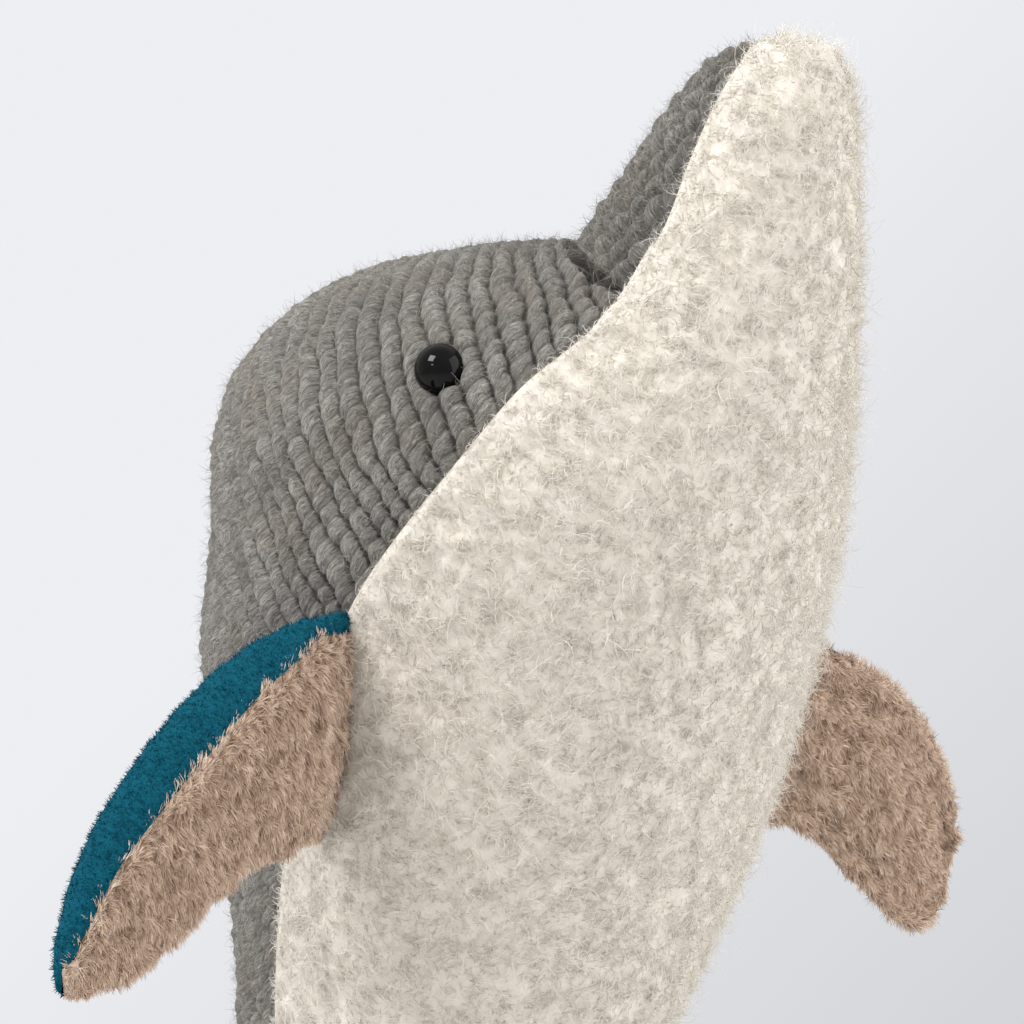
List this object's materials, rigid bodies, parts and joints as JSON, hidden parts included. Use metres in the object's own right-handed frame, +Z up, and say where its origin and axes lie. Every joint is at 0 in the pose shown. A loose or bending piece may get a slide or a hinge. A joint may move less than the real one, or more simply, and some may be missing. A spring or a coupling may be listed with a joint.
{
  "type": "plush dolphin",
  "caption": "Stuffed sea animal standing upright on folded tail flukes: ribbed grey back, curly white belly, teal and tan flippers that swing, domed black eyes.",
  "frame": {"origin": "on the floor, on the flat underside of the folded flukes, straight below the middle of the chest", "axes": "+Z up towards the beak, the belly faces -Y, the animal's left is +X"},
  "size_m": [0.5175, 0.2965, 0.597],
  "materials": {
    "grey_knit": "chunky ribbed wool knit, felted",
    "white_pile": "curly cream mohair-like pile",
    "teal_velvet": "short-pile velvet",
    "tan_plush": "soft medium-length plush",
    "eye": "polished black",
    "eye_washer": "moulded",
    "stuffing": "loose polyester fibre",
    "weight_bag": "cloth bag of plastic pellets"
  },
  "bodies": {
    "body": {"belly_panel": "white_pile", "beak_top_panel": "grey_knit", "back_panel_left": "grey_knit", "back_panel_right": "grey_knit", "body_stuffing": "stuffing", "eye_left": "eye", "eye_right": "eye", "eye_washer_left": "eye_washer", "eye_washer_right": "eye_washer"},
    "tail": {"tail_belly_panel": "white_pile", "tail_panel_left": "grey_knit", "tail_panel_right": "grey_knit", "tail_stuffing": "stuffing", "weight_bag": "weight_bag"},
    "flukes": {"flukes_under": "tan_plush", "flukes_top": "teal_velvet", "flukes_stuffing": "stuffing"},
    "flipper_left": {"flipper_left_under": "tan_plush", "flipper_left_top": "teal_velvet", "flipper_left_stuffing": "stuffing"},
    "flipper_right": {"flipper_right_under": "tan_plush", "flipper_right_top": "teal_velvet", "flipper_right_stuffing": "stuffing"},
    "dorsal_fin": {"dorsal_fin_left": "teal_velvet", "dorsal_fin_right": "teal_velvet", "dorsal_fin_stuffing": "stuffing"}
  },
  "joints": [
    {"name": "flipper_left_flap", "type": "hinge", "parent": "body", "child": "flipper_left", "pos_m": [0.10775, 0.001, 0.371], "axis": [-0.1574, 0.1008, -0.9824], "range_deg": [-25, 45]},
    {"name": "flipper_right_flap", "type": "hinge", "parent": "body", "child": "flipper_right", "pos_m": [-0.10775, 0.001, 0.371], "axis": [-0.1574, -0.1008, 0.9824], "range_deg": [-25, 45]},
    {"name": "dorsal_fin_flop", "type": "hinge", "parent": "body", "child": "dorsal_fin", "pos_m": [0, 0.09925, 0.2145], "axis": [0, 0.059, 0.9983], "range_deg": [-25, 25]},
    {"name": "tail_bend", "type": "hinge", "parent": "body", "child": "tail", "pos_m": [0, 0.042, 0.13], "axis": [1, 0, 0], "range_deg": [-15, 15]},
    {"name": "fluke_fold", "type": "hinge", "parent": "tail", "child": "flukes", "pos_m": [0, 0.042, 0.018], "axis": [1, 0, 0], "range_deg": [0, 90]}
  ]
}
